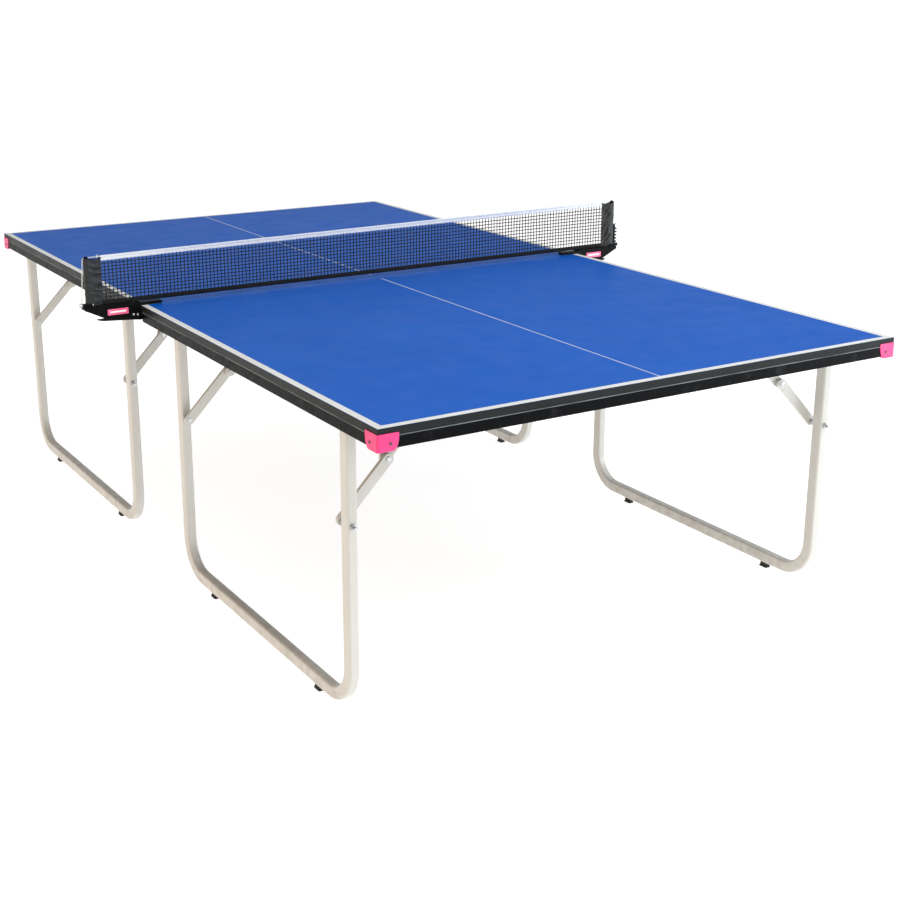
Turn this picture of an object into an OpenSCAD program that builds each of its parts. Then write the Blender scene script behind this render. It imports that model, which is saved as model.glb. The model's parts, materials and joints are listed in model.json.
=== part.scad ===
// Folding table-tennis table in two halves, with a clip-on net.
// +X runs along the length towards the front half, +Y across the width, +Z up.
// The origin is on the floor under the middle of the net.

/* [Table] */
// Length of the whole playing surface
table_l = 2740; // [2400:10:2800]
// Width of the playing surface
table_w = 1525; // [1400:5:1600]
// Height of the playing surface above the floor
table_h = 760; // [700:5:780]
// Thickness of the tabletop board
top_t = 19; // [15:1:25]
// Gap between the two tabletops at the net
seam_gap = 1; // [0.8:0.2:4]

/* [Apron] */
// Height of the steel rails under the board
rail_h = 28; // [24:1:32]
// Width of the steel rails
rail_w = 18; // [14:1:18]
// Wall thickness of the steel rails
rail_wall = 1.2; // [1:0.1:2]
// Distance from the middle of the table to the ends of the rails
rail_inset = 16; // [14:1:20]
// Reach of a corner protector along each side
guard_reach = 50; // [45:1:60]
// Thickness of a corner protector
guard_t = 2.5; // [2:0.5:3]

/* [Legs] */
// Tube size along the table
tube_w = 34; // [30:1:36]
// Tube size across the table
tube_t = 27; // [24:1:28]
// Tube wall thickness
tube_wall = 1.5; // [1.2:0.1:2]
// Mean radius of the two bends of a leg frame
bend_r = 95; // [80:5:120]
// Outer edge of a leg frame nearest the net
leg_near = 190; // [180:5:220]
// Outer edge of a leg frame nearest the table's end
leg_far = 1190; // [1150:5:1200]
// Distance from the middle of the table to a leg frame's plane
leg_y = 727.5; // [727:0.5:728]
// Height of a leg frame's hinge pins
hinge_z = 722; // [721:0.5:722]
// Height of a rubber foot
foot_h = 15; // [12:1:20]
// Distance from an upright's outer edge to the middle of its foot
foot_inset = 185; // [160:5:220]

/* [Stays] */
// Distance from the hinge pin down to the stay's pin on the leg
stay_drop = 243; // [240:1:250]
// Distance from the hinge pin in to the stay's pin under the board
stay_reach = 236; // [230:1:238]
// Width of a stay link
link_w = 26; // [22:1:28]
// Depth of a stay link
link_d = 10; // [8:1:10]
// Diameter of the pivot pins
pin_d = 8; // [6:1:8]

/* [Net] */
// Height of the net above the board at its left end
net_left = 150.5; // [145:0.5:170]
// Height of the net above the board at its right end
net_right = 165; // [145:0.5:170]
// Distance from the middle of the table to the net's outer edge
net_reach = 916; // [910:1:920]
// Width of the sleeve at each end of the net
sleeve_w = 48; // [40:1:52]
// Height of the white tape along the top of the net
tape_h = 15; // [12:0.5:15]
// Height of the black band along the bottom of the net
band_h = 12; // [10:1:14]

/* [Hidden] */

front = 1;
back = -1;
left = -1;
right = 1;

// Running clearance of a pin in its hole, and gap between parts that pass each other
run_clear = 0.05;
side_gap = 0.5;
hole_d = pin_d + 2 * run_clear;

// Board and rails
half_l = table_l / 2;
half_w = table_w / 2;
board_z = table_h - top_t;
rail_z = board_z - rail_h;
rail_corner = 1.5;

// Leg frame, drawn in the front right quarter
near_x = leg_near + tube_w / 2;
far_x = leg_far - tube_w / 2;
mid_x = (leg_near + leg_far) / 2;
bar_z = foot_h + tube_w / 2;
leg_top_z = hinge_z + 8;
tube_corner = 6;

// Stay: straight when the leg is down, flat when it is folded
stay_l = sqrt(pow(stay_drop, 2) + pow(stay_reach, 2));
lower_l = (stay_l + stay_drop - stay_reach) / 2;
upper_l = (stay_l - stay_drop + stay_reach) / 2;
stay_angle = atan2(stay_drop, -stay_reach);
leg_pin = [leg_y, hinge_z - stay_drop];
top_pin = [leg_y - stay_reach, hinge_z];
knee = leg_pin + lower_l * [cos(stay_angle), sin(stay_angle)];
link_wall = 1.5;

// Layers of a stay, counted from the inner face of its upright
spacer_t = 14;
knee_head_t = 2.4;
lower_x = leg_near + tube_w + side_gap + spacer_t;
link_gap = 4.4;
upper_x = lower_x + link_d + link_gap;
ear_t = 3;
ear_x = upper_x + link_d + side_gap;
rivet_head = 1.8;
rivet_head_d = 12;

// Brackets under the board
plate_t = 2.5;
ear_r = 11;
bracket_side = 20;
stay_plate_l = 40;
screw_head_d = 8;
screw_head_h = 2;
screw_d = 4;

// Corner protectors
guard_top = 12.5;
guard_lip = 4.5;
guard_round = 22;
guard_screw_at = 30;
guard_screw_z = 725;
guard_screw_d = 3.6;

// Net
post_d = 12;
post_y = net_reach - 1.5 - post_d / 2;
mesh_y = net_reach - sleeve_w;
net_slope = atan((net_right - net_left) / (2 * mesh_y));
band_z = table_h + 12;
mesh_z = band_z + band_h;
sleeve_bottom = table_h + 25;
sleeve_drop = 7;
cord_d = 2.4;
cord_drop = 4;
rack_y = net_reach + 2 * cord_d;
rack_top = table_h + 84;
rack_pitch = 11;

// Net clamp
cheek_t = 2;
clamp_w = 24;
clamp_top = table_h + 11;
clamp_out = 926;
clamp_in = half_w + 1.5;
jaw_in = 700;
jaw_t = 6;
pad_gap = 0.3;
jaw_z = table_h + 2;
lever_pin = [785, 737];
lever_pin_d = 5;
lever_w = 18;
rivet_at = [773, 736];
socket_d = 18;
socket_z = table_h - 3;
collar_z = table_h + 19;
collar_w = 18;
screw_z = table_h + 15;
thumb_d = 5;
thumb_head_d = 11;

// ---------- placing ----------

// Draws its children in the quarter of the table at the given half and side
module quarter(half, side) {
    mirror([half < 0 ? 1 : 0, 0, 0]) mirror([0, side < 0 ? 1 : 0, 0]) children();
}

module both_sides() {
    quarter(front, right) children();
    quarter(front, left) children();
}

// Draws its children at both uprights of a leg frame
module both_uprights() {
    children();
    translate([2 * mid_x, 0, 0]) mirror([1, 0, 0]) children();
}

// Stands a flat outline drawn in Y and Z at x, with thickness t along +X
module slab_x(x, t) {
    translate([x, 0, 0]) rotate([90, 0, 90]) linear_extrude(t) children();
}

// A round bar along +X from x, at the point at = [y, z]
module bar_x(x, l, d, at, sides = 32) {
    translate([x, at[0], at[1]]) rotate([0, 90, 0]) cylinder(h = l, d = d, $fn = sides);
}

// A rectangle with round corners, centred
module round_rect(w, h, r) {
    square([w - 2 * r, h], center = true);
    square([w, h - 2 * r], center = true);
    for (sx = [-1, 1], sy = [-1, 1])
        translate([sx * (w / 2 - r), sy * (h / 2 - r)]) circle(r = r, $fn = 24);
}

// ---------- boards and apron ----------

module tabletop(half) {
    color("royalblue") quarter(half, right)
        translate([seam_gap / 2, -half_w, board_z]) cube([half_l - seam_gap / 2, table_w, top_t]);
}

// A hollow rail of length l along +X, with its outer lower edge at the origin
module rail_bar(l) {
    rotate([90, 0, 90]) linear_extrude(l) translate([-rail_w / 2, rail_h / 2]) difference() {
        round_rect(rail_w, rail_h, rail_corner);
        square([rail_w - 2 * rail_wall, rail_h - 2 * rail_wall], center = true);
    }
}

module side_rail(half, side) {
    color("dimgray") quarter(half, side) difference() {
        translate([rail_inset, half_w, rail_z]) rail_bar(half_l - rail_inset);
        translate([half_l - guard_screw_at, half_w + 1, guard_screw_z]) rotate([90, 0, 0])
            cylinder(h = rail_wall + 2, d = guard_screw_d, $fn = 24);
    }
}

// A rail across the table whose outer face is at x
module cross_rail(x) {
    translate([x, -half_w + rail_w, rail_z]) rotate([0, 0, 90]) mirror([0, 1, 0])
        translate([0, rail_w, 0]) rail_bar(table_w - 2 * rail_w);
}

module end_rail(half) {
    color("dimgray") quarter(half, right) difference() {
        cross_rail(half_l - rail_w);
        for (side = [left, right])
            translate([half_l - rail_wall - 1, side * (half_w - guard_screw_at), guard_screw_z])
                rotate([0, 90, 0]) cylinder(h = rail_wall + 2, d = guard_screw_d, $fn = 24);
    }
}

module net_rail(half) {
    color("dimgray") quarter(half, right) cross_rail(rail_inset);
}

// Outline of a protector's face: straight on top, round at its lower outer corner
module guard_face(w, h) {
    square([w - guard_round, h]);
    intersection() {
        square([w, h]);
        union() {
            translate([0, guard_round]) square([w, h]);
            translate([w - guard_round, guard_round]) circle(r = guard_round, $fn = 64);
        }
    }
}

module corner_guard(half, side) {
    guard_z = rail_z - guard_lip;
    guard_h = table_h - guard_top - guard_z;
    reach = guard_reach + guard_t;
    color("hotpink") quarter(half, side) translate([half_l + guard_t, half_w + guard_t, guard_z])
        mirror([1, 0, 0]) mirror([0, 1, 0]) difference() {
            union() {
                rotate([90, 0, 90]) linear_extrude(guard_t) guard_face(reach, guard_h);
                mirror([1, -1, 0]) rotate([90, 0, 90]) linear_extrude(guard_t) guard_face(reach, guard_h);
                intersection() {
                    cube([reach - guard_round, reach - guard_round, guard_lip]);
                    cylinder(h = guard_lip, r = reach - guard_round, $fn = 64);
                }
            }
            guard_hole();
            mirror([1, -1, 0]) guard_hole();
        }
}

// Screw hole through one face of a protector
module guard_hole() {
    translate([-1, guard_screw_at + guard_t, guard_screw_z - rail_z + guard_lip]) rotate([0, 90, 0])
        cylinder(h = guard_t + 2, d = guard_screw_d, $fn = 24);
}

// A pan-head screw with its seat at the origin and its head along +Z
module pan_screw(head_d, head_h, d, l) {
    rotate_extrude($fn = 32) polygon([
        [0, -l], [d / 2, -l + d / 2], [d / 2, 0], [head_d / 2, 0],
        [head_d / 2, head_h * 0.5], [head_d * 0.32, head_h], [0, head_h]
    ]);
}

module corner_screws(half) {
    color("silver") for (side = [left, right]) quarter(half, side) {
        translate([half_l - guard_screw_at, half_w + guard_t, guard_screw_z]) rotate([-90, 0, 0])
            pan_screw(7, 1.6, 3.5, 8);
        translate([half_l + guard_t, half_w - guard_screw_at, guard_screw_z]) rotate([0, 90, 0])
            pan_screw(7, 1.6, 3.5, 8);
    }
}

// ---------- leg frames ----------

// The U shape of a leg frame, swept with a w by t section, its top ends at top_z
module u_path(w, t, r, top_z) {
    upright_l = top_z - bar_z - bend_r;
    for (x = [near_x, far_x])
        translate([x, leg_y, bar_z + bend_r]) linear_extrude(upright_l) round_rect(w, t, r);
    translate([near_x + bend_r, leg_y, bar_z]) rotate([0, 90, 0])
        linear_extrude(far_x - near_x - 2 * bend_r) round_rect(w, t, r);
    for (bend = [[near_x + bend_r, 180], [far_x - bend_r, 270]])
        translate([bend[0], leg_y, bar_z + bend_r]) rotate([90, 0, 0]) rotate([0, 0, bend[1]])
            rotate_extrude(angle = 90, $fn = 96) translate([bend_r, 0]) round_rect(w, t, r);
}

module leg(half, side) {
    color("gainsboro") quarter(half, side) difference() {
        u_path(tube_w, tube_t, tube_corner, leg_top_z);
        u_path(tube_w - 2 * tube_wall, tube_t - 2 * tube_wall, tube_corner - tube_wall, leg_top_z + 1);
        for (z = [hinge_z, leg_pin[1]], x = [near_x, far_x])
            bar_x(x - tube_w / 2 - 1, tube_w + 2, hole_d, [leg_y, z]);
        both_uprights() translate([leg_near + foot_inset, leg_y, foot_h - 1])
            cylinder(h = tube_wall + 2, d = hole_d, $fn = 32);
    }
}

module feet(half, side) {
    color("black") quarter(half, side) both_uprights() translate([leg_near + foot_inset, leg_y, 0]) {
        linear_extrude(4) round_rect(29, 18, 3);
        linear_extrude(foot_h) round_rect(25, 15, 3);
        cylinder(h = foot_h + tube_wall + 3, d = pin_d, $fn = 32);
    }
}

// An ear with a pin hole at the point at = [y, z], hanging from the board
module ear(x, at) {
    difference() {
        slab_x(x, ear_t) {
            translate(at) circle(r = ear_r, $fn = 48);
            translate([at[0] - ear_r, at[1]]) square([2 * ear_r, board_z - at[1]]);
        }
        bar_x(x - 1, ear_t + 2, hole_d, at);
    }
}

module leg_brackets(half) {
    outer_x = leg_near - side_gap - ear_t;
    inner_x = leg_near + tube_w + side_gap;
    plate_l = inner_x + ear_t - outer_x + 2 * bracket_side;
    color("silver") for (side = [left, right]) quarter(half, side) both_uprights() {
        ear(outer_x, [leg_y, hinge_z]);
        ear(inner_x, [leg_y, hinge_z]);
        translate([outer_x - bracket_side, leg_y - tube_t / 2, board_z - plate_t])
            difference() {
                cube([plate_l, tube_t, plate_t]);
                for (x = [bracket_side / 2, plate_l - bracket_side / 2])
                    translate([x, tube_t / 2, -1]) cylinder(h = plate_t + 2, d = screw_d + 0.4, $fn = 24);
            }
    }
}

// A pivot pin along +X from x, with a round head at each end of its grip
module pin(x, grip, head, at) {
    bar_x(x, grip, pin_d, at);
    bar_x(x - head, head, rivet_head_d, at);
    bar_x(x + grip, head, rivet_head_d, at);
}

module hinge_pins(half) {
    start = leg_near - side_gap - ear_t;
    color("gray") for (side = [left, right]) quarter(half, side) both_uprights()
        pin(start - run_clear, tube_w + 2 * (side_gap + ear_t + run_clear), 3, [leg_y, hinge_z]);
}

// ---------- folding stays ----------

// A hollow link of pin distance l along +Y, with round ends
module link(l) {
    difference() {
        slab_x(0, link_d) link_outline(l, link_w);
        slab_x(link_wall, link_d - 2 * link_wall) link_outline(l, link_w - 2 * link_wall);
    }
}

module link_outline(l, w) {
    translate([0, -w / 2]) square([l, w]);
    for (x = [0, l]) translate([x, 0]) circle(d = w, $fn = 48);
}

module lower_links(half, side) {
    color("gainsboro") quarter(half, side) both_uprights()
        translate([lower_x, leg_pin[0], leg_pin[1]]) rotate([stay_angle, 0, 0]) difference() {
            link(lower_l);
            for (y = [0, lower_l]) bar_x(-1, link_d + 2, hole_d, [y, 0]);
        }
}

// The upper links, each with a rivet head at its knee and the rivet at its top end
module upper_links(half, side) {
    color("gainsboro") quarter(half, side) both_uprights() {
        translate([upper_x, knee[0], knee[1]]) rotate([stay_angle, 0, 0]) link(upper_l);
        bar_x(upper_x + link_d - 0.5, 3.5, rivet_head_d, knee);
        top_rivet();
    }
}

// Rivet that turns with an upper link inside its bracket's ear
module top_rivet() {
    bar_x(upper_x - rivet_head, rivet_head + 0.5, rivet_head_d, top_pin);
    bar_x(upper_x - 1, ear_x + ear_t + 1.5 - upper_x, pin_d, top_pin);
    bar_x(ear_x + ear_t + 0.3, rivet_head, rivet_head_d, top_pin);
}

// Bolts of a frame's two lower links: one through the upright, one at the knee
module stay_bolts(half, side) {
    nut_t = 6.5;
    washer_t = 1.6;
    tail = 16;
    color("silver") quarter(half, side) both_uprights() {
        bar_x(lower_x + link_d, rivet_head, rivet_head_d, leg_pin);
        bar_x(leg_near - tail, lower_x + link_d + tail - leg_near, pin_d, leg_pin);
        bar_x(leg_near - side_gap - washer_t, washer_t, 17, leg_pin);
        bar_x(lower_x - spacer_t, spacer_t, 15, leg_pin);
        translate([leg_near - side_gap - washer_t - nut_t, leg_pin[0], leg_pin[1]]) rotate([0, 90, 0])
            cylinder(h = nut_t, d = 15, $fn = 6);
        bar_x(lower_x - knee_head_t, knee_head_t + link_d + 0.5, pin_d, knee);
        bar_x(lower_x - knee_head_t, knee_head_t, rivet_head_d, knee);
        bar_x(lower_x + link_d, link_gap - 0.4, rivet_head_d, knee);
    }
}

module stay_brackets(half) {
    color("silver") for (side = [left, right]) quarter(half, side) both_uprights() {
        ear(ear_x, top_pin);
        translate([ear_x, top_pin[0] - stay_plate_l / 2, board_z - plate_t]) difference() {
            cube([stay_plate_l, stay_plate_l, plate_t]);
            for (y = [8, stay_plate_l - 8]) translate([stay_plate_l - 12, y, -1])
                cylinder(h = plate_t + 2, d = screw_d + 0.4, $fn = 24);
        }
    }
}

module bracket_screws(half) {
    leg_outer = leg_near - side_gap - ear_t - bracket_side / 2;
    leg_inner = leg_near + tube_w + side_gap + ear_t + bracket_side / 2;
    spots = [
        [leg_outer, leg_y], [leg_inner, leg_y],
        [ear_x + stay_plate_l - 12, top_pin[0] - stay_plate_l / 2 + 8],
        [ear_x + stay_plate_l - 12, top_pin[0] + stay_plate_l / 2 - 8]
    ];
    color("gray") for (side = [left, right]) quarter(half, side) both_uprights()
        for (spot = spots) translate([spot[0], spot[1], board_z - plate_t]) rotate([180, 0, 0])
            pan_screw(screw_head_d, screw_head_h, screw_d, plate_t - 0.2);
}

// ---------- net ----------

// Height of the net's top edge at a place y across the table
function net_top(y) = table_h + (net_left + net_right + (net_right - net_left) * y / mesh_y) / 2;

// Outline of a strip of the net between two heights at its left end and two at its right
module net_strip(left_low, left_high, right_low, right_high) {
    polygon([[-mesh_y, left_low], [mesh_y, right_low], [mesh_y, right_high], [-mesh_y, left_high]]);
}

module net_mesh() {
    color("black") slab_x(-1, 2)
        net_strip(mesh_z, net_top(-mesh_y) - tape_h, mesh_z, net_top(mesh_y) - tape_h);
}

module net_tape() {
    color("white") slab_x(-2, 4)
        net_strip(net_top(-mesh_y) - tape_h, net_top(-mesh_y), net_top(mesh_y) - tape_h, net_top(mesh_y));
}

module net_band() {
    color("black") slab_x(-1.5, 3) net_strip(band_z, mesh_z, band_z, mesh_z);
}

// The flat sleeves that slip over the posts
module net_sleeves() {
    color("black") for (side = [left, right]) quarter(front, side) {
        sleeve_h = net_top(side * post_y) - sleeve_drop - sleeve_bottom;
        difference() {
            translate([0, 0, sleeve_bottom]) linear_extrude(sleeve_h) {
                translate([0, post_y]) circle(d = post_d + 3, $fn = 48);
                translate([-4, mesh_y]) square([8, post_y - mesh_y]);
            }
            translate([0, post_y, sleeve_bottom - 1]) cylinder(h = sleeve_h + 2, d = post_d + 0.4, $fn = 48);
        }
    }
}

// The cord through the tape and over both posts: tied round the left thumb screw,
// and hooked over the top of the rack on the right
module net_cord() {
    drop_y = net_reach + cord_d / 2 + 0.3;
    hook_z = rack_top + cord_d / 2 + 0.2;
    left_z = net_top(-drop_y) - cord_drop;
    right_z = net_top(drop_y) - cord_drop;
    ring_r = thumb_d / 2 + 0.3 + cord_d / 2;
    ring_y = clamp_out + 0.4 + cord_d / 2;
    fall = [ring_y - drop_y, left_z - screw_z - ring_r];
    color("white") {
        translate([0, -drop_y, left_z]) rotate([-90 + net_slope, 0, 0])
            cylinder(h = 2 * drop_y / cos(net_slope), d = cord_d, $fn = 16);
        translate([0, drop_y, hook_z]) cylinder(h = right_z - hook_z, d = cord_d, $fn = 16);
        translate([0, drop_y, hook_z]) rotate([-90, 0, 0])
            cylinder(h = rack_y + 5 - drop_y, d = cord_d, $fn = 16);
        translate([0, -drop_y, left_z]) rotate([180 - atan2(fall[0], fall[1]), 0, 0])
            cylinder(h = norm(fall), d = cord_d, $fn = 16);
        for (bend = [[drop_y, hook_z], [drop_y, right_z], [-drop_y, left_z]])
            translate([0, bend[0], bend[1]]) sphere(d = cord_d, $fn = 16);
        translate([0, -ring_y, screw_z]) rotate([90, 0, 0]) rotate_extrude($fn = 48)
            translate([ring_r, 0]) circle(d = cord_d, $fn = 16);
        translate([0, rack_y + 5 + cord_d, hook_z]) sphere(d = 2 * cord_d, $fn = 24);
        translate([0, -mesh_y - 8, net_top(-mesh_y) - cord_drop]) sphere(d = 2.6 * cord_d, $fn = 24);
    }
}

// Both posts, with tapered tops and a slot across each for the cord
module net_posts() {
    cap = 2;
    post_r = post_d / 2;
    color("dimgray") for (side = [left, right]) quarter(front, side) {
        top = net_top(side * post_y);
        difference() {
            translate([0, post_y, 0]) rotate_extrude($fn = 48) polygon([
                [0, socket_z], [post_r, socket_z], [post_r, top - cap], [post_r - cap, top], [0, top]
            ]);
            translate([-cord_d / 2 - 0.3, post_y - post_d, top - cord_drop - cord_d / 2 - 0.4])
                cube([cord_d + 0.6, 2 * post_d, post_d]);
        }
    }
}

// Outline of a clamp's cheek in Y and Z
module cheek_outline() {
    polygon([
        [clamp_in, clamp_top], [clamp_out, clamp_top], [clamp_out, clamp_top - 8],
        [861, board_z - 10], [clamp_in, board_z - 22]
    ]);
}

module net_clamp(side) {
    color("black") quarter(front, side) difference() {
        union() {
            for (x = [-clamp_w / 2, clamp_w / 2 - cheek_t]) slab_x(x, cheek_t) cheek_outline();
            translate([-clamp_w / 2, clamp_in, clamp_top - cheek_t])
                cube([clamp_w, clamp_out - clamp_in, cheek_t]);
            translate([-clamp_w / 2, jaw_in, jaw_z]) cube([clamp_w, clamp_in + cheek_t - jaw_in, jaw_t]);
            translate([-clamp_w / 2, clamp_in, jaw_z]) cube([clamp_w, cheek_t, clamp_top - jaw_z]);
            translate([0, post_y, socket_z]) cylinder(h = clamp_top - socket_z, d = socket_d, $fn = 48);
            translate([-collar_w / 2, post_y - collar_w / 2, clamp_top - cheek_t])
                cube([collar_w, clamp_out - post_y + collar_w / 2, collar_z - clamp_top + cheek_t]);
        }
        translate([0, post_y, socket_z - 1])
            cylinder(h = collar_z - socket_z + 2, d = post_d + 2 * run_clear, $fn = 48);
        bar_x(-clamp_w / 2 - 1, clamp_w + 2, lever_pin_d + 2 * run_clear, lever_pin);
        translate([0, post_y, screw_z]) rotate([-90, 0, 0])
            cylinder(h = clamp_out - post_y + 1, d = thumb_d + 2 * run_clear, $fn = 32);
    }
}

// Outline of a lever in Y and Z, from the lower jaw out to the finger tip
module lever_outline() {
    polygon([
        [704, 740.5], [762, 740.5], [776, 743], [794, 743], [806, 733], [888, 730.5],
        [872, 726.8], [764, 719.5], [712, 727], [704, 731]
    ]);
}

module clamp_lever(side) {
    slot_w = 12;
    color("black") quarter(front, side) difference() {
        slab_x(-lever_w / 2, lever_w) lever_outline();
        bar_x(-lever_w / 2 - 1, lever_w + 2, lever_pin_d + 2 * run_clear, lever_pin);
        translate([-slot_w / 2, 776, 729.5]) cube([slot_w, 20, 20]);
    }
}

module clamp_pads() {
    color("dimgray") both_sides() translate([-clamp_w / 2, jaw_in, table_h + pad_gap])
        cube([clamp_w, clamp_in - 4 - jaw_in, jaw_z - table_h - pad_gap]);
}

// Lever pins with domed heads, and the rivets beside them
module clamp_pins() {
    color("silver") both_sides() {
        bar_x(-clamp_w / 2, clamp_w, lever_pin_d, lever_pin);
        for (end = [0, 1]) mirror([end, 0, 0]) {
            translate([clamp_w / 2, lever_pin[0], lever_pin[1]]) rotate([0, 90, 0]) rivet_dome();
            translate([clamp_w / 2, rivet_at[0], rivet_at[1]]) rotate([0, 90, 0]) rivet_dome();
        }
    }
}

module rivet_dome() {
    rotate_extrude($fn = 32) intersection() {
        translate([0, -2]) circle(r = 4, $fn = 48);
        square([4, 4]);
    }
}

// Close-wound torsion springs on the lever pins, each with its arm up to the clamp
module clamp_springs() {
    wire = 1.6;
    pitch = wire + 0.05;
    coil_r = lever_pin_d / 2 + 0.4 + wire / 2;
    color("silver") both_sides() {
        for (turn = [-2 : 2]) translate([turn * pitch, lever_pin[0], lever_pin[1]]) rotate([0, 90, 0])
            rotate_extrude($fn = 48) translate([coil_r, 0]) circle(d = wire, $fn = 16);
        translate([-3 * pitch, lever_pin[0] + coil_r, lever_pin[1]])
            cylinder(h = clamp_top - cheek_t - lever_pin[1], d = wire, $fn = 16);
    }
}

// Thumb screw that locks a post at its height; the left one has a neck for the cord's loop
module height_screw(side) {
    neck = side == left ? cord_d + 0.8 : 0;
    head_l = side == left ? 5 : 10;
    color("gray") quarter(front, side) {
        translate([0, net_reach - 1.5 + 0.2, screw_z]) rotate([-90, 0, 0])
            cylinder(h = clamp_out - net_reach + 1.5 + neck, d = thumb_d, $fn = 32);
        translate([0, clamp_out + 0.1 + neck, screw_z]) rotate([-90, 0, 0])
            cylinder(h = head_l, d = thumb_head_d, $fn = 32);
    }
}

// Notched strip beside the right post, where the cord is hooked to tighten the net
module tension_rack() {
    foot_t = 4;
    foot_w = 15;
    strip_w = 7;
    strip_t = 4;
    tooth_h = 5;
    color("black") difference() {
        union() {
            translate([-foot_w / 2, post_y - foot_w / 2, collar_z])
                cube([foot_w, rack_y + strip_t - post_y + foot_w / 2, foot_t]);
            translate([-strip_w / 2, rack_y, collar_z]) cube([strip_w, strip_t, rack_top - collar_z]);
            for (z = [collar_z + foot_t : rack_pitch : rack_top - 2 * tooth_h])
                translate([-strip_w / 2, rack_y + strip_t - 1, z]) cube([strip_w, 8, tooth_h]);
        }
        translate([0, post_y, collar_z - 1]) cylinder(h = foot_t + 2, d = post_d + 2 * run_clear, $fn = 48);
    }
}

tabletop(front);  // front_tabletop
tabletop(back);  // back_tabletop
side_rail(front, left);  // front_left_rail
side_rail(front, right);  // front_right_rail
end_rail(front);  // front_end_rail
net_rail(front);  // front_net_rail
side_rail(back, left);  // back_left_rail
side_rail(back, right);  // back_right_rail
end_rail(back);  // back_end_rail
net_rail(back);  // back_net_rail
corner_guard(front, left);  // front_left_corner
corner_guard(front, right);  // front_right_corner
corner_guard(back, left);  // back_left_corner
corner_guard(back, right);  // back_right_corner
corner_screws(front);  // front_corner_screws
corner_screws(back);  // back_corner_screws
leg(front, left);  // front_left_leg
leg(front, right);  // front_right_leg
leg(back, left);  // back_left_leg
leg(back, right);  // back_right_leg
feet(front, left);  // front_left_feet
feet(front, right);  // front_right_feet
feet(back, left);  // back_left_feet
feet(back, right);  // back_right_feet
leg_brackets(front);  // front_leg_brackets
leg_brackets(back);  // back_leg_brackets
hinge_pins(front);  // front_hinge_pins
hinge_pins(back);  // back_hinge_pins
stay_brackets(front);  // front_stay_brackets
stay_brackets(back);  // back_stay_brackets
bracket_screws(front);  // front_bracket_screws
bracket_screws(back);  // back_bracket_screws
upper_links(front, left);  // front_left_upper_links
upper_links(front, right);  // front_right_upper_links
upper_links(back, left);  // back_left_upper_links
upper_links(back, right);  // back_right_upper_links
lower_links(front, left);  // front_left_lower_links
lower_links(front, right);  // front_right_lower_links
lower_links(back, left);  // back_left_lower_links
lower_links(back, right);  // back_right_lower_links
stay_bolts(front, left);  // front_left_stay_bolts
stay_bolts(front, right);  // front_right_stay_bolts
stay_bolts(back, left);  // back_left_stay_bolts
stay_bolts(back, right);  // back_right_stay_bolts
net_mesh();
net_tape();
net_band();
net_sleeves();
net_cord();
net_posts();
net_clamp(left);  // left_net_clamp
net_clamp(right);  // right_net_clamp
clamp_lever(left);  // left_clamp_lever
clamp_lever(right);  // right_clamp_lever
clamp_pads();
clamp_pins();
clamp_springs();
height_screw(left);  // left_height_screw
height_screw(right);  // right_height_screw
tension_rack();
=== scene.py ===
"""Looks of a folding table-tennis table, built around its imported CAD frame.

+X runs along the length towards the front half, +Y across the width and +Z up, in metres.
"""
import json
import math

import bmesh
import bpy
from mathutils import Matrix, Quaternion, Vector, noise


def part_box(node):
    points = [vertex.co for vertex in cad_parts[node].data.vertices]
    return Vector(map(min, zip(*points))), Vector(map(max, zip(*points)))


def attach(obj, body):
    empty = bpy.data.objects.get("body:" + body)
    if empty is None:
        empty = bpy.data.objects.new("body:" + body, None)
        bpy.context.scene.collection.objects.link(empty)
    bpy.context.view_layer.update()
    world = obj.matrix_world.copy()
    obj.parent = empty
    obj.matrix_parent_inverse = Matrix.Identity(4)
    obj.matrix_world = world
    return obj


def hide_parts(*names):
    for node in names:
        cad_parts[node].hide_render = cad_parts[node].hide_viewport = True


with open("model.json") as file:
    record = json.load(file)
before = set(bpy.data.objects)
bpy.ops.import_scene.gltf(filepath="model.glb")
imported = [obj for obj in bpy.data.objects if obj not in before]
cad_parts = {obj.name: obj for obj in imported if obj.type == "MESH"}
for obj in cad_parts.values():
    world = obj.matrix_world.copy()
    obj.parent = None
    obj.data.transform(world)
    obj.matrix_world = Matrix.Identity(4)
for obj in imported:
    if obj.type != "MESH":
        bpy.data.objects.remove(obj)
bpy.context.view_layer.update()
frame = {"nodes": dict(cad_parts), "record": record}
nodes = frame["nodes"]

MM = 0.001
HALVES = {"front": 1, "back": -1}
SIDES = {"left": -1, "right": 1}


# ---------- camera, light and floor ----------

def srgb(r, g, b):
    """A colour given in 0-255 display values, as linear light."""
    def linear(c):
        c /= 255
        return c / 12.92 if c <= 0.04045 else ((c + 0.055) / 1.055) ** 2.4
    return (linear(r), linear(g), linear(b), 1)


def aim(obj, eye, target, roll=0.0):
    """Points a camera or a light from eye at target, with a roll in degrees."""
    obj.location = eye
    turn = (Vector(target) - Vector(eye)).to_track_quat("-Z", "Y")
    obj.rotation_mode = "QUATERNION"
    obj.rotation_quaternion = turn @ Quaternion((0, 0, 1), math.radians(roll))


def make_camera():
    """The photo's view, solved from the tabletop's corners and lines and from the feet."""
    data = bpy.data.cameras.new("Camera")
    data.lens, data.sensor_width = 57.92, 36
    data.shift_x, data.shift_y = 0.0082, -0.0381
    data.clip_end = 400
    camera = bpy.data.objects.new("Camera", data)
    bpy.context.scene.collection.objects.link(camera)
    aim(camera, (3.8437, -2.1354, 1.6514), (0, 0.2416, 0.2739), 0.133)
    bpy.context.scene.camera = camera


def area_light(name, eye, target, size, power, colour=(1, 1, 1)):
    data = bpy.data.lights.new(name, "AREA")
    data.shape, data.size, data.energy, data.color = "SQUARE", size, power, colour
    lamp = bpy.data.objects.new(name, data)
    bpy.context.scene.collection.objects.link(lamp)
    aim(lamp, eye, target)


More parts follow.
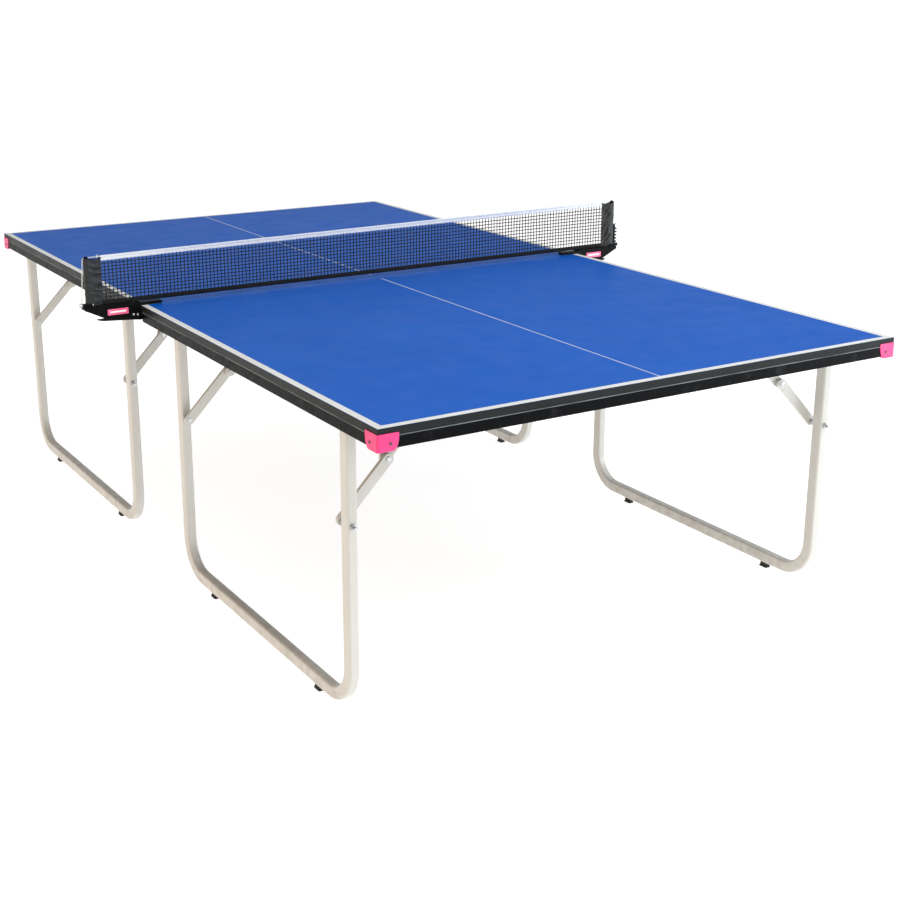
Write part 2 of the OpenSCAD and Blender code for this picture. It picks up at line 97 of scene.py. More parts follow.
def add_node(tree, kind, inputs, **settings):
    """A shader node, with each input linked to a socket or set to a value."""
    made = tree.nodes.new("ShaderNode" + kind)
    for key, value in settings.items():
        setattr(made, key, value)
    for key, value in inputs.items():
        if isinstance(value, bpy.types.NodeSocket):
            tree.links.new(value, made.inputs[key])
        else:
            made.inputs[key].default_value = value
    return made


def make_world():
    """Soft light, warm from the left and cool from the right, that the camera sees as plain white."""
    world = bpy.data.worlds.new("Studio")
    bpy.context.scene.world = world
    world.use_nodes = True
    tree = world.node_tree
    warm, cool, white = (0.50, 0.42, 0.33, 1), (0.50, 0.53, 0.56, 1), (1, 1, 1, 1)
    way = add_node(tree, "TexCoord", {}).outputs["Generated"]
    across = add_node(tree, "SeparateXYZ", {"Vector": way}).outputs["Y"]
    share = add_node(tree, "MapRange", {"Value": across, "From Min": -0.75, "From Max": 0.1}).outputs[0]
    light = add_node(tree, "Mix", {0: share, 6: warm, 7: cool}, data_type="RGBA").outputs[2]
    seen = add_node(tree, "LightPath", {}).outputs["Is Camera Ray"]
    backdrop = add_node(tree, "Mix", {0: seen, 6: light, 7: white}, data_type="RGBA").outputs[2]
    tree.links.new(backdrop, tree.nodes["Background"].inputs["Color"])
    bpy.context.scene.view_settings.view_transform = "Standard"


def make_lights():
    area_light("Key", (3.2, 0.6, 4.6), (0.2, 0, 0.6), 3.0, 120)
    area_light("Fill", (0.5, -5.0, 1.6), (0.3, 0, 0.5), 2.5, 34, (1.0, 0.60, 0.28))
    area_light("Cool", (3.6, 4.2, 1.3), (0.4, 0, 0.3), 2.0, 120, (0.86, 0.93, 1.0))


def make_floor():
    """A pale floor whose faint glow brings it to the photo's white."""
    reach = 150
    corners = [(-reach, -reach, 0), (reach, -reach, 0), (reach, reach, 0), (-reach, reach, 0)]
    mesh = bpy.data.meshes.new("Floor")
    mesh.from_pydata(corners, [], [(0, 1, 2, 3)])
    floor = bpy.data.objects.new("Floor", mesh)
    bpy.context.scene.collection.objects.link(floor)
    pale = bpy.data.materials.new("Pale_floor")
    pale.use_nodes = True
    shader = pale.node_tree.nodes["Principled BSDF"]
    shader.inputs["Base Color"].default_value = (0.80, 0.80, 0.80, 1)
    shader.inputs["Roughness"].default_value = 0.9
    shader.inputs["Emission Color"].default_value = (1, 1, 1, 1)
    shader.inputs["Emission Strength"].default_value = 0.74
    mesh.materials.append(pale)


# ---------- materials ----------

class Finish:
    """A Principled material whose colour, roughness and bump come from procedural nodes."""

    def __init__(self, name, colour, **sockets):
        self.material = bpy.data.materials.new(name)
        self.material.use_nodes = True
        self.tree = self.material.node_tree
        self.shader = self.tree.nodes["Principled BSDF"]
        self.colour, self.roughness, self.normal = colour, None, None
        for socket, value in sockets.items():
            self.shader.inputs[socket.replace("_", " ")].default_value = value
        self.coords = self.tree.nodes.new("ShaderNodeTexCoord").outputs["Object"]

    def node(self, kind, inputs, **settings):
        return add_node(self.tree, kind, inputs, **settings)

    def place(self, stretch, turn=(0, 0, 0)):
        return self.node("Mapping", {"Vector": self.coords, "Scale": stretch, "Rotation": turn}).outputs[0]

    def noise(self, scale, detail=3.0, stretch=(1, 1, 1)):
        inputs = {"Vector": self.place(stretch), "Scale": scale, "Detail": detail}
        return self.node("TexNoise", inputs).outputs[0]

    def specks(self, scale):
        return self.node("TexVoronoi", {"Vector": self.coords, "Scale": scale}).outputs["Distance"]

    def bands(self, pitch, direction, turn):
        """Even ridges a pitch apart, in metres."""
        return self.node("TexWave", {"Vector": self.place((1, 1, 1), turn), "Scale": math.pi / 10 / pitch},
                         bands_direction=direction).outputs["Fac"]

    def maths(self, operation, a, b):
        return self.node("Math", {0: a, 1: b}, operation=operation).outputs[0]

    def spread(self, value, low, high, to_low=0.0, to_high=1.0):
        """Maps low-high of a value to another range, and holds it there."""
        return self.node("MapRange", {"Value": value, "From Min": low, "From Max": high,
                                      "To Min": to_low, "To Max": to_high}).outputs[0]

    def axis(self, name):
        return self.node("SeparateXYZ", {"Vector": self.coords}).outputs[name]

    def edges(self, radius):
        """1 on worn edges, 0 on flats, broken up by noise."""
        round_normal = self.node("Bevel", {"Radius": radius}, samples=4).outputs[0]
        flat_normal = self.tree.nodes.new("ShaderNodeNewGeometry").outputs["Normal"]
        normals = {0: round_normal, 1: flat_normal}
        dot = self.node("VectorMath", normals, operation="DOT_PRODUCT").outputs["Value"]
        worn, patchy = self.spread(dot, 0.97, 0.75), self.spread(self.noise(90, 4), 0.45, 0.7)
        return self.maths("MULTIPLY", worn, patchy)

    def tint(self, amount, colour):
        """Mixes another colour in, by an amount from 0 to 1."""
        self.colour = self.node("Mix", {0: amount, 6: self.colour, 7: colour}, data_type="RGBA").outputs[2]
        return self

    def roughen(self, amount, low, high):
        """Varies the roughness between low and high with a pattern."""
        self.roughness = self.spread(amount, 0.3, 0.7, low, high)
        return self

    def emboss(self, height, depth):
        """Adds a bump of a pattern, with its depth in metres."""
        inputs = {"Height": height, "Distance": depth, "Strength": 1.0}
        if self.normal is not None:
            inputs["Normal"] = self.normal
        self.normal = self.node("Bump", inputs).outputs[0]
        return self

    def done(self):
        values = {"Base Color": self.colour, "Roughness": self.roughness, "Normal": self.normal}
        for socket, value in values.items():
            if isinstance(value, bpy.types.NodeSocket):
                self.tree.links.new(value, self.shader.inputs[socket])
            elif value is not None:
                self.shader.inputs[socket].default_value = value
        return self.material


def board_finish(name, colour, other, grain=0.00002, specular=0.25):
    """Matt lacquer, slightly uneven in shade and gloss."""
    f = Finish(name, colour, Specular_IOR_Level=specular)
    f.tint(f.spread(f.noise(5, 3), 0.3, 0.7), other)
    f.roughen(f.noise(14, 5), 0.38, 0.46)
    return f.emboss(f.noise(900, 2), grain).done()


def coat_finish(name, colour, scuff, low, high, highlight_band_z=None):
    """Powder-coated steel: orange peel, faint blotches and paler worn edges, with a painted highlight: a
    lighter band along the top edge of the rail, above the given height.
    """
    f = Finish(name, colour, Specular_IOR_Level=0.06)
    if highlight_band_z:
        # Painted highlight: pale grey along the rail's top edge, standing in for the light line that edge
        # catches.
        top, patchy = highlight_band_z + 0.2 * MM, f.spread(f.noise(9, 5), 0.3, 0.6, 0.35, 0.95)
        painted_highlight = f.maths("MULTIPLY", f.spread(f.axis("Z"), highlight_band_z - 0.2 * MM, top), patchy)
        f.tint(painted_highlight, srgb(138, 148, 150))
    f.tint(f.maths("MULTIPLY", f.edges(1.6 * MM), 0.6), scuff)
    f.tint(f.spread(f.noise(26, 6), 0.58, 0.86, 0, 0.35), scuff)
    f.roughen(f.noise(60, 4), low, high)
    return f.emboss(f.noise(620, 2), 0.00006).done()


def leg_finish():
    """Pale grey powder coat, darker and browner in patches near the floor, with dull worn edges."""
    f = Finish("Leg_coat", srgb(209, 207, 200), Coat_Weight=0.25, Coat_Roughness=0.2)
    f.tint(f.spread(f.noise(5, 4), 0.4, 0.75, 0, 0.5), srgb(200, 197, 188))
    near_floor, patchy = f.spread(f.axis("Z"), 0.0, 0.10, 0.55, 0.0), f.spread(f.noise(38, 6), 0.4, 0.7)
    f.tint(f.maths("MULTIPLY", near_floor, patchy), srgb(140, 131, 118))
    f.tint(f.maths("MULTIPLY", f.edges(1.2 * MM), 0.35), srgb(168, 168, 166))
    f.roughen(f.noise(42, 4), 0.28, 0.46)
    return f.emboss(f.noise(520, 2), 0.00007).done()


def plastic_finish(name, colour, other, low, high, grain, **sockets):
    """Moulded plastic or rubber with a fine grain."""
    f = Finish(name, colour, **sockets)
    f.tint(f.spread(f.noise(45, 3), 0.35, 0.7), other)
    f.roughen(f.noise(150, 4), low, high)
    return f.emboss(f.noise(1500, 2), grain).done()


def zinc_finish(name, colour, other, low, high):
    """Zinc-plated steel: spangle, dull patches and fine scratches."""
    f = Finish(name, colour, Metallic=1.0)
    f.tint(f.spread(f.specks(260), 0.1, 0.5), other)
    f.tint(f.spread(f.noise(60, 5), 0.55, 0.8, 0, 0.5), srgb(128, 124, 116))
    f.roughen(f.noise(180, 4), low, high)
    return f.emboss(f.noise(900, 3, (1, 1, 0.2)), 0.00003).done()


def fabric_finish(name, colour, other, pitch, depth, roughness, slant=0.0, **sockets):
    """Woven cloth: two crossing sets of threads, uneven in shade."""
    f = Finish(name, colour, **sockets)
    turn = (slant, 0, 0)
    weave = f.maths("ADD", f.bands(pitch, "Y", turn), f.bands(pitch, "Z", turn))
    f.tint(f.spread(f.noise(130, 5), 0.35, 0.7), other)
    f.tint(f.spread(weave, 0.3, 1.6, 0.35, 0.0), tuple(c * 0.45 for c in colour[:3]) + (1,))
    f.roughen(f.noise(220, 4), roughness - 0.1, min(1.0, roughness + 0.1))
    return f.emboss(weave, depth).emboss(f.noise(500, 3), depth * 0.7).done()


def make_finishes():
    """Every material by name. A CAD node wears the one named after its slot."""
    rail_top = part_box("front_left_rail")[1].z
    return {
        "blue": board_finish("Board_blue", srgb(2, 90, 192), srgb(4, 94, 198), specular=0.08),
        "line": board_finish("Line_white", srgb(238, 240, 238), srgb(226, 229, 226)),
        "edge": board_finish("Board_edge", srgb(27, 30, 31), srgb(34, 37, 38), 0.00006, 0.12),
        "under": board_finish("Board_underside", srgb(46, 47, 49), srgb(58, 58, 60), 0.00008),
        # The apron coat gets a painted highlight in the rail's top 1.8 mm.
        "apron_steel": coat_finish("Apron_coat", srgb(5, 6, 8), srgb(66, 67, 69), 0.34, 0.48,
                                   highlight_band_z=rail_top - 1.8 * MM),
        "corner_plastic": plastic_finish("Corner_plastic", srgb(238, 46, 122), srgb(243, 58, 134),
                                         0.28, 0.42, 0.00003, Subsurface_Weight=0.08, Subsurface_Scale=0.003),
        "leg_steel": leg_finish(),
        "foot_rubber": plastic_finish("Foot_rubber", srgb(24, 24, 25), srgb(44, 43, 42),
                                      0.62, 0.85, 0.00012),
        "zinc_plate": zinc_finish("Zinc_plate", srgb(186, 189, 192), srgb(206, 209, 211), 0.34, 0.52),
        "zinc_bolt": zinc_finish("Zinc_bolt", srgb(176, 178, 180), srgb(200, 202, 203), 0.24, 0.40),
        "net_fabric": fabric_finish("Sleeve_cloth", srgb(9, 12, 12), srgb(17, 21, 21), 0.7 * MM, 0.00005,
                                    0.40, Specular_IOR_Level=0.5),
        "band": fabric_finish("Band_cloth", srgb(20, 22, 24), srgb(28, 30, 32), 0.9 * MM, 0.00008, 0.8,
                              Specular_IOR_Level=0.2),
        "strand": fabric_finish("Net_strand", srgb(14, 16, 22), srgb(24, 27, 34), 0.5 * MM, 0.00005,
                                roughness=0.6, slant=0.8, Specular_IOR_Level=0.3),
        "tape_fabric": fabric_finish("Tape_cloth", srgb(243, 246, 250), srgb(232, 236, 242), 0.8 * MM,
                                     0.00010, 0.85),
        "thread": fabric_finish("Stitch_thread", srgb(176, 180, 186), srgb(160, 164, 170), 0.3 * MM,
                                0.00003, 0.8),
        "cord": fabric_finish("Cord_braid", srgb(236, 236, 232), srgb(214, 214, 208), 0.9 * MM,
                              0.00012, roughness=0.8, slant=0.785),
        "clamp_steel": coat_finish("Clamp_coat", srgb(12, 12, 13), srgb(60, 60, 60), 0.34, 0.52),
        "clip_plastic": plastic_finish("Clip_plastic", srgb(13, 13, 14), srgb(22, 22, 23),
                                       0.38, 0.55, 0.00006, Specular_IOR_Level=0.25),
        "spring_steel": zinc_finish("Spring_steel", srgb(150, 152, 155), srgb(175, 177, 180), 0.22, 0.36),
        # Darkened zinc for the corner screws: painted shade standing in for the shadow in their recessed
        # heads.
        "painted_shade_bolt": zinc_finish("Painted_shade_bolt", srgb(70, 66, 66), srgb(96, 92, 92), 0.30, 0.46),
        "label": plastic_finish("Label_pink", srgb(240, 92, 140), srgb(244, 110, 154), 0.30, 0.42, 0.00002),
        "label_line": plastic_finish("Label_white", srgb(248, 246, 246), srgb(240, 236, 236),
                                     0.30, 0.42, 0.00002),
    }


# ---------- mesh building ----------

class Builder:
    """Collects the vertices and faces of one mesh."""

    def __init__(self):
        self.verts, self.faces, self.kinds = [], [], []

    def face(self, corners, kind=0):
        self.faces.append(tuple(corners))
        self.kinds.append(kind)

    def loft(self, rings, kind=0, caps=True, closed=True):
        """Skin over rings of points, each as long as the first."""
        n, start = len(rings[0]), len(self.verts)
        for ring in rings:
            self.verts.extend(ring)
        for i in range(len(rings) - 1):
            for j in range(n if closed else n - 1):
                a, b = start + i * n + j, start + i * n + (j + 1) % n
                self.face((a, b, b + n, a + n), kind)
        if caps:
            self.face(range(start + n - 1, start - 1, -1), kind)
            self.face(range(len(self.verts) - n, len(self.verts)), kind)

    def tube(self, points, radii, sides, kind=0):
        """A round tube through points, with no twist along it."""
        points = [Vector(p) for p in points]
        if not hasattr(radii, "__len__"):
            radii = [radii] * len(points)
        ways = []
        for i in range(len(points)):
            way = points[min(i + 1, len(points) - 1)] - points[max(i - 1, 0)]
            ways.append(way.normalized())
        side = ways[0].orthogonal().normalized()
        rings = []
        for point, radius, way in zip(points, radii, ways):
            side = (side - side.dot(way) * way).normalized()
            up = way.cross(side)
            rings.append([point + radius * (math.cos(a) * side + math.sin(a) * up)
                          for a in (2 * math.pi * k / sides for k in range(sides))])
        self.loft(rings, kind)

    def mesh(self, name):
        mesh = bpy.data.meshes.new(name)
        mesh.from_pydata([tuple(v) for v in self.verts], [], self.faces)
        mesh.polygons.foreach_set("material_index", self.kinds)
        mesh.update()
        return mesh


def add_piece(name, mesh, body, finishes, replaces=(), smooth=True):
    """A visible piece that rides on a body, in place of the CAD nodes it replaces."""
    for finish in finishes:
        mesh.materials.append(finish)
    mesh.polygons.foreach_set("use_smooth", [smooth] * len(mesh.polygons))
    obj = bpy.data.objects.new(name, mesh)
    bpy.context.scene.collection.objects.link(obj)
    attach(obj, body)
    if replaces:
        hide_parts(*replaces)
    return obj


def tidy_normals(mesh):
    """Joins the points that meet and turns every face outward."""
    bm = bmesh.new()
    bm.from_mesh(mesh)
    bmesh.ops.remove_doubles(bm, verts=bm.verts, dist=1e-6)
    bmesh.ops.recalc_face_normals(bm, faces=bm.faces)
    bm.to_mesh(mesh)
    bm.free()


def add_edges(obj, width):
    """Rounds the sharp edges of a piece, and shades its flats flat."""
    bevel = obj.modifiers.new("Edges", "BEVEL")
    bevel.width, bevel.segments, bevel.limit_method = width, 2, "ANGLE"
    bevel.angle_limit = math.radians(35)
    bevel.use_clamp_overlap = True
    obj.modifiers.new("Normals", "WEIGHTED_NORMAL").weight = 90


def apply_modifiers(obj):
    graph = bpy.context.evaluated_depsgraph_get()
    obj.data = bpy.data.meshes.new_from_object(obj.evaluated_get(graph), depsgraph=graph)
    obj.modifiers.clear()


def arc_points(centre, radius, sides, a, b):
    """Points from angle a up to, not including, angle b."""
    return [(centre[0] + radius * math.cos(a + (b - a) * k / sides),
             centre[1] + radius * math.sin(a + (b - a) * k / sides)) for k in range(sides)]


def wobble(*at):
    """Smooth noise between -1 and 1, the same on every run."""
    return noise.noise(Vector(at))


# ---------- boards ----------

LINE_EDGE = 20 * MM
LINE_MIDDLE = 1.5 * MM
LINE_START = 31 * MM
BLUE, LINE, EDGE, UNDER = range(4)


def make_board(half, finish):
    """A tabletop whose lines are painted faces of its top."""
    low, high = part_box(half + "_tabletop")
    way = HALVES[half]
    inner, outer = (low.x, high.x) if way > 0 else (high.x, low.x)
    xs = sorted([inner, way * LINE_START, outer - way * LINE_EDGE, outer])
    ys = [low.y, low.y + LINE_EDGE, -LINE_MIDDLE, LINE_MIDDLE, high.y - LINE_EDGE, high.y]
    bm = bmesh.new()
    grid = [[bm.verts.new((x, y, high.z)) for y in ys] for x in xs]
    for i in range(len(xs) - 1):
        for j in range(len(ys) - 1):
            face = bm.faces.new((grid[i][j], grid[i + 1][j], grid[i + 1][j + 1], grid[i][j + 1]))
            middle = face.calc_center_median()
            border = abs(middle.x) > abs(outer) - LINE_EDGE or abs(middle.y) > high.y - LINE_EDGE
            line = abs(middle.y) < LINE_MIDDLE and abs(middle.x) > LINE_START
            face.material_index = LINE if border or line else BLUE
    skirt = bmesh.ops.extrude_face_region(bm, geom=list(bm.faces), use_keep_orig=True)["geom"]
    lowered = [v for v in skirt if isinstance(v, bmesh.types.BMVert)]
    bmesh.ops.translate(bm, verts=lowered, vec=(0, 0, low.z - high.z))
    for face in bm.faces:
        height = face.calc_center_median().z
        if abs(height - low.z) < 1e-6:
            face.material_index = UNDER
        elif height < high.z - 1e-6:
            face.material_index = EDGE
    bmesh.ops.recalc_face_normals(bm, faces=bm.faces)
    sharp = [e for e in bm.edges if len(e.link_faces) == 2 and e.calc_face_angle() > 0.5]
    bmesh.ops.bevel(bm, geom=sharp, offset=1.2 * MM, segments=3, profile=0.5, affect="EDGES",
                    clamp_overlap=True)
    paint_z = high.z - 0.3 * MM
    for face in bm.faces:
        height = face.calc_center_median().z
        if (face.material_index < EDGE and height < paint_z) or face.material_index == UNDER:
            face.material_index = EDGE if height > low.z + 1e-6 else UNDER
        elif face.material_index == EDGE and height > paint_z:
            face.material_index = LINE
    mesh = bpy.data.meshes.new(half + "_board")
    bm.to_mesh(mesh)
    bm.free()
    paints = [finish[kind] for kind in ("blue", "line", "edge", "under")]
    board = add_piece(half + "_board", mesh, half + "_half", paints, [half + "_tabletop"])
    board.modifiers.new("Normals", "WEIGHTED_NORMAL").weight = 90


# ---------- corner protectors ----------

def guard_bottom(along, width):
    """Height of a protector face's lower edge at a distance from the corner: it curves up at its end."""
    curve_w, curve_h = 15 * MM, 30 * MM
    past = min(1.0, max(0.0, (along - width + curve_w) / curve_w))
    return curve_h * (1 - math.sqrt(1 - past * past))


def make_guard(half, side, finish):
    """A moulded corner protector that wraps the board and rail, with a lip under the rail."""
    node = f"{half}_{side}_corner"
    low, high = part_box(node)
    sx, sy = HALVES[half], SIDES[side]
    corner = Vector((max(abs(low.x), abs(high.x)), max(abs(low.y), abs(high.y)), 0))
    width, height, arc, lip, lean = high.x - low.x, high.z - low.z, 5 * MM, 12 * MM, -0.5 * MM
    across, around, rows = 28, 8, 6
    ends = [width - (width - arc) * (k / across) ** 1.6 for k in range(across)]
    turns = [math.pi / 2 * k / around for k in range(around + 1)]
    stations = [(a, Vector((0, 1, 0))) for a in ends]
    stations += [(None, Vector((math.sin(a), math.cos(a), 0))) for a in turns]
    stations += [(a, Vector((1, 0, 0))) for a in reversed(ends)]
    rings = []
    for along, out in stations:
        if along is None:
            inner = corner - Vector((arc, arc, 0))
            spot, bottom = inner + arc * out, 0.0
        else:
            spot = corner - Vector((out.y, out.x, 0)) * along
            bottom = guard_bottom(along, width)
            inner = spot - out * min(lip, along) * max(0.0, 1 - bottom / (1.5 * MM))
        ring = [inner] + [spot + out * lean * k / rows for k in range(rows + 1)]
        heights = [bottom] + [bottom + (height - bottom) * k / rows for k in range(rows + 1)]
        rings.append([(sx * q.x, sy * q.y, low.z + h) for q, h in zip(ring, heights)])
    b = Builder()
    b.loft(rings, caps=False, closed=False)
    mesh = b.mesh(node + "_guard")
    tidy_normals(mesh)
    guard = add_piece(node + "_guard", mesh, half + "_half",
                      [finish["corner_plastic"]], [node])
    shell = guard.modifiers.new("Wall", "SOLIDIFY")
    shell.thickness, shell.offset = 2.4 * MM, -1
    shell.use_even_offset = True
    add_edges(guard, 0.5 * MM)


# ---------- net ----------

COLUMN, ROWS = 11.1 * MM, 12
KNOT, STRAND = 1.85 * MM, 1.3 * MM
NET_END = 868 * MM
NET_LEFT, NET_RIGHT = 910.5 * MM, 925 * MM


def net_top(y):
    """Height of the net's top edge, which rises towards the right."""
    return (NET_LEFT + NET_RIGHT) / 2 + (NET_RIGHT - NET_LEFT) / 2 * y / NET_END


def make_net(finish):
    """Knotted mesh: every strand is a tube that thickens where it crosses another."""
    low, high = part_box("net_mesh")
    columns = round((high.y - low.y) / COLUMN)
    tape = 14.5 * MM
    seam = 1.5 * MM
    slack = 0.5 * MM

    def crossing(i, j):
        x = slack * wobble(i * 0.11, j * 0.27, 5.0)
        y = low.y + (high.y - low.y) * i / columns + slack * wobble(i * 0.13, j * 0.31, 1.0)
        free = 1.0 if 0 < j < ROWS else 0.0
        z = low.z + j / ROWS * (net_top(y) - tape - low.z) + free * slack * wobble(i * 0.17, j * 0.33, 9.0)
        return Vector((x, y, z))

    def strand(spots):
        points, radii = [], []
        for a, b in zip(spots, spots[1:]):
            for share, radius in ((0.0, KNOT), (0.22, STRAND), (0.78, STRAND)):
                points.append(a.lerp(b, share))
                radii.append(radius)
        return points + [spots[-1]], radii + [KNOT]

    b = Builder()
    for i in range(columns + 1):
        spots = [crossing(i, j) for j in range(ROWS + 1)]
        spots[0].z -= seam
        spots[-1].z += seam
        b.tube(*strand(spots), sides=5)
    for j in range(1, ROWS):
        b.tube(*strand([crossing(i, j) for i in range(columns + 1)]), sides=5)
    net = add_piece("net_strands", b.mesh("net_strands"), "front_half", [finish["strand"]],
                    ["net_mesh"])


def swept_band(low_y, high_y, profile, step, drift):
    """Closed profile of (x, z) points swept along Y; drift(y, z) gives each point's (dx, dz)."""
    count = round((high_y - low_y) / step)
    rings = []
    for i in range(count + 1):
        y = low_y + (high_y - low_y) * i / count
        ring = []
        for x, z in profile:
            dx, dz = drift(y, z)
            ring.append((x + dx, y, z + dz))
        rings.append(ring)
    b = Builder()
    b.loft(rings)
    return b


def folded(outline, cloth):
    """Closed profile of a strip of cloth that follows an open outline of (x, z) points."""
    inner = []
    for k, point in enumerate(outline):
        before, after = outline[max(k - 1, 0)], outline[min(k + 1, len(outline) - 1)]
        way = Vector((after[0] - before[0], after[1] - before[1])).normalized()
        inner.append((point[0] - way.y * cloth, point[1] + way.x * cloth))
    return list(outline) + inner[::-1]


def add_stitches(b, low_y, high_y, spots, pitch, kind, drift):
    """Short raised stitches along Y, at each (x, z, outward sign) of spots."""
    count = round((high_y - low_y) / pitch)
    for x, z, out in spots:
        for i in range(count):
            y = low_y + (high_y - low_y) * (i + 0.5) / count
            dx, dz = drift(y, z)
            ends = [(-0.36, -0.25), (-0.2, 0.22), (0.2, 0.22), (0.36, -0.25)]
            points = [(x + dx + out * rise * MM, y + share * pitch, z + dz) for share, rise in ends]
            b.tube(points, 0.28 * MM, 5, kind)


def make_tape(finish):
    """White tape, folded over the cord and sewn below it. Heights are below the net's top edge."""
    low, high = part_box("net_tape")
    bulge, side, drop, cloth = 2.3 * MM, 1.5 * MM, 15 * MM, 0.7 * MM
    dip = -6.0 * MM
    right = [(side, -drop), (side + 0.1 * MM, 3 * MM - drop), (side, dip - 3 * MM), (side - 0.35 * MM, dip),
             (side + 0.35 * MM, dip + 1.5 * MM)]
    turns = [math.radians(degrees) for degrees in range(-30, 211, 20)]
    cap = [(bulge * math.cos(a), bulge * math.sin(a) - bulge) for a in turns]
    profile = folded(right + cap + [(-x, z) for x, z in reversed(right)], cloth)

    def drift(y, z):
        return 0.6 * MM * wobble(y * 9, z * 25, 2.0), net_top(y) + 0.35 * MM * wobble(y * 14, 3.0, z * 30)

    b = swept_band(low.y, high.y, profile, 6 * MM, drift)
    seams = [(side, 1.8 * MM - drop), (side - 0.2 * MM, dip - 0.4 * MM)]
    rows = [(out * x, z, out) for x, z in seams for out in (1, -1)]
    add_stitches(b, low.y + 3 * MM, high.y - 3 * MM, rows, 4.4 * MM, 1, drift)
    tape = add_piece("net_tape_cloth", b.mesh("net_tape_cloth"), "front_half",
                     [finish["tape_fabric"], finish["thread"]], ["net_tape"])


def make_band(finish):
    """Black band folded over the bottom of the net."""
    low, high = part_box("net_band")
    side, cloth, top = 1.5 * MM, 0.7 * MM, high.z - low.z
    right = [(side, top), (side + 0.2 * MM, top - 3 * MM), (side, 3 * MM), (side + 0.2 * MM, 1.4 * MM),
             (0.7 * MM, 0)]
    profile = folded([(-x, z) for x, z in right] + right[::-1], -cloth)

    def drift(y, z):
        return 0.7 * MM * wobble(y * 7, z * 30, 7.0), low.z + 0.5 * MM * wobble(y * 6, 1.0, 8.0)

    b = swept_band(low.y, high.y, profile, 8 * MM, drift)
    rows = [(side, top - 1.8 * MM, 1), (-side, top - 1.8 * MM, -1)]
    add_stitches(b, low.y + 3 * MM, high.y - 3 * MM, rows, 5 * MM, 0, drift)
    band = add_piece("net_band_cloth", b.mesh("net_band_cloth"), "front_half",
                     [finish["band"]], ["net_band"])


def sleeve_ring(share, post_y, seam_y, post_r):
    """Point (x, y) of a sleeve's outline and its outward direction, by its share of the way round."""
    straight = post_y - seam_y
    arc = math.pi * post_r
    total = 2 * straight + arc
    run = share * total
    thin = 1.0 * MM

    def half_depth(y):
        t = min(1.0, max(0.0, (y - seam_y) / straight))
        return thin + (post_r - thin) * t * t * (3 - 2 * t)

    if run < straight:
        y = seam_y + run
        return Vector((half_depth(y), y)), Vector((1, 0))
    if run < straight + arc:
        a = (run - straight) / post_r
        x, y = math.cos(a), math.sin(a)
        return Vector((post_r * x, post_y + post_r * y)), Vector((x, y))
    y = post_y - (run - straight - arc)
    return Vector((-half_depth(y), y)), Vector((-1, 0))


def sleeve_puff(y, z, near, front, way):
    """How far crumpled cloth stands out at a spot: slanted creases, soft folds and fine wrinkles."""
    crease_gap = 25 * MM
    run = z / crease_gap - 0.75 * y / crease_gap + 1.1 * wobble(y * 26, z * 22, 5.0 * way + front)
    crease = 1 - abs(math.sin(math.pi * run)) ** 0.6
    soft = wobble(y * 30 + 4 * way, z * 34, 2.0 * front + way)
    fine = wobble(y * 90, (z - 0.5 * y) * 110, 9.0 + front)
    loose = max(0.22, math.sin(math.pi * min(0.96, near * 0.94 + 0.02)) ** 0.6)
    return max(-0.6 * MM, (0.6 + 4.2 * crease + 2.4 * soft + 0.8 * fine) * MM * loose)


def make_sleeve(side, finish):
    """Crumpled cloth sleeve that slips over a post: a flat tube, open at the top and bottom."""
    way = SIDES[side]
    post_r, post_y, seam_y = 7.4 * MM, 908.5 * MM, NET_END - 1.5 * MM
    low_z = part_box("net_sleeves")[0].z
    high_z = net_top(way * post_y) - 7 * MM
    around, up = 96, 72
    rings = []
    for k in range(up + 1):
        v = k / up
        ring = []
        for i in range(around):
            spot, out = sleeve_ring(i / around, post_y, seam_y, post_r)
            near = min(1.0, max(0.0, (spot.y - seam_y) / (post_y - seam_y)))
            front = 1 if out.x >= 0 else -1
            rim = 4.5 * math.exp(-(near / 0.12) ** 2) + 4.0 * max(0.0, near - 0.7) / 0.3 - 1.5
            top = high_z + rim * MM + 1.4 * MM * wobble(spot.y * 130, front * 2.0, 3.0)
            bottom = low_z - (13.0 - 7.5 * min(1.0, max(0.0, near - 0.62) / 0.08)) * MM
            z = bottom + (top - bottom) * v
            spot = spot + out * sleeve_puff(spot.y, z, near, front, way)
            ring.append((spot.x, way * spot.y, z))
        rings.append(ring)
    b = Builder()
    b.loft(rings, caps=False)
    mesh = b.mesh(side + "_sleeve_cloth")
    tidy_normals(mesh)
    sleeve = add_piece(side + "_sleeve_cloth", mesh, "front_half", [finish["net_fabric"]],
                       ["net_sleeves"])
    shell = sleeve.modifiers.new("Cloth", "SOLIDIFY")
    shell.thickness, shell.offset = 0.6 * MM, 0
    smooth = sleeve.modifiers.new("Smooth", "SUBSURF")
    smooth.levels = smooth.render_levels = 1
    apply_modifiers(sleeve)


def round_path(corners, radius):
    """Points of a path through corners, with each bend rounded."""
    steps = 8
    corners = [Vector(c) for c in corners]
    points = [corners[0]]
    for before, at, after in zip(corners, corners[1:], corners[2:]):
        a, b = (before - at).normalized(), (after - at).normalized()
        half = a.angle(b) / 2
        cut = min(radius / math.tan(half), (before - at).length * 0.49, (after - at).length * 0.49)
        start, end = at + a * cut, at + b * cut
        for k in range(steps + 1):
            t = k / steps
            points.append(start.lerp(at, t).lerp(at.lerp(end, t), t))
    points.append(corners[-1])
    return points


def make_knot(name, at, size, finish, ends=2):
    """A small overhand knot: a coil of cord with loose ends."""
    b = Builder()
    turns = [Vector((0.45 * size * math.cos(t), 0.5 * size * (t / 6 - 1), 0.45 * size * math.sin(t)))
             for t in (0.45 * k for k in range(29))]
    b.tube([at + t for t in turns], 0.26 * size, 8)
    for k in range(ends):
        away = Vector((0.5 if k else -0.35, 0.55 - k, 1.0 - 0.5 * k)) * size * 1.2
        points = [at, at + away * 0.5 + Vector((0.2 * size, 0, 0)), at + away]
        b.tube(points, [0.22 * size] * 2 + [0.28 * size], 8)
    return add_piece(name, b.mesh(name), "front_half", [finish["cord"]])


